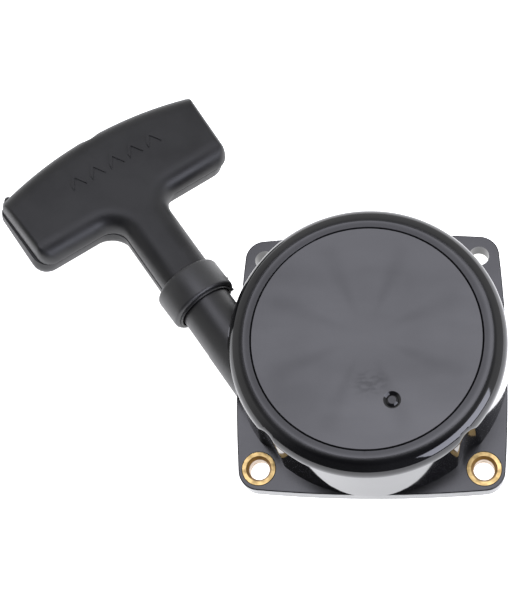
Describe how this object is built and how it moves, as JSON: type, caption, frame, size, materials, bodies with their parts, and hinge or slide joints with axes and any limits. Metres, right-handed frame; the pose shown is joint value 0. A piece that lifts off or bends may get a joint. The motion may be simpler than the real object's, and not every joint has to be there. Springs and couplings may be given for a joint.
{
  "type": "recoil starter",
  "caption": "Recoil starter for a small engine: round black cup on a square bolt flange, side rope spout and a T-shaped pull handle; reel, spring and pawls inside.",
  "frame": {"origin": "centre of the four-hole pattern on the spin axis, in the flange's mounting face", "axes": "+Z away from the engine along the spin axis, +X and +Y along the flange's sides, brass-bushed holes on the -Y side"},
  "size_m": [0.1792, 0.1457, 0.0355],
  "materials": {
    "housing_plastic": "black injection-moulded nylon, glossy on the rounded shoulder, finely satin on the flat top",
    "handle_plastic": "satin black moulded plastic with a parting line",
    "brass": "turned brass, bright",
    "plated_steel": "zinc-plated steel",
    "spring_steel": "blued spring steel strip and wire",
    "pawl_steel": "sintered steel, grey",
    "reel_plastic": "natural nylon",
    "guide_plastic": "black acetal",
    "rope": "black braided nylon rope"
  },
  "bodies": {
    "housing": {"housing": "housing_plastic", "bush_left": "brass", "bush_right": "brass", "rope_ferrule": "plated_steel", "centre_shaft": "plated_steel", "retaining_screw": "plated_steel", "lock_washer": "spring_steel", "retaining_washer": "plated_steel", "thrust_washer": "plated_steel", "brake_spring": "spring_steel", "recoil_spring": "spring_steel"},
    "reel": {"reel": "reel_plastic", "reel_bush": "brass", "spring_plate": "plated_steel", "rope_coil": "rope", "reel_knot": "rope", "pawl_pin_a": "plated_steel", "pawl_pin_b": "plated_steel"},
    "guide": {"ratchet_guide": "guide_plastic"},
    "pawl_a": {"pawl_a": "pawl_steel"},
    "pawl_b": {"pawl_b": "pawl_steel"},
    "rope": {"rope_lead": "rope", "handle_knot": "rope"},
    "handle": {"handle_grip": "handle_plastic", "knot_washer": "plated_steel"}
  },
  "joints": [
    {"name": "rope_pull", "type": "slide", "parent": "housing", "child": "rope", "axis": [-0.585, 0.8111, 0], "range_m": [0, 0.7]},
    {"name": "handle_twist", "type": "hinge", "parent": "rope", "child": "handle", "pos_m": [-0.02928, -0.02112, 0.0215], "axis": [-0.585, 0.8111, 0], "range_deg": [-90, 90]},
    {"name": "reel_spin", "type": "hinge", "parent": "housing", "child": "reel", "pos_m": [0, 0, 0], "axis": [0, 0, 1], "range_deg": [-1115, 0], "deforming": ["recoil_spring"]},
    {"name": "guide_lag", "type": "hinge", "parent": "reel", "child": "guide", "pos_m": [0, 0, 0], "axis": [0, 0, 1], "range_deg": [0, 20]},
    {"name": "pawl_a_swing", "type": "hinge", "parent": "reel", "child": "pawl_a", "pos_m": [0.0175, 0, 0.0132], "axis": [0, 0, 1], "range_deg": [0, 30]},
    {"name": "pawl_b_swing", "type": "hinge", "parent": "reel", "child": "pawl_b", "pos_m": [-0.0175, 0, 0.0132], "axis": [0, 0, 1], "range_deg": [0, 30]}
  ],
  "couplings": [
    {"joint": "reel_spin", "follows": "rope_pull", "rad_per_m": -27.701},
    {"joint": "pawl_a_swing", "follows": "guide_lag", "ratio": 1.5},
    {"joint": "pawl_b_swing", "follows": "guide_lag", "ratio": 1.5}
  ]
}
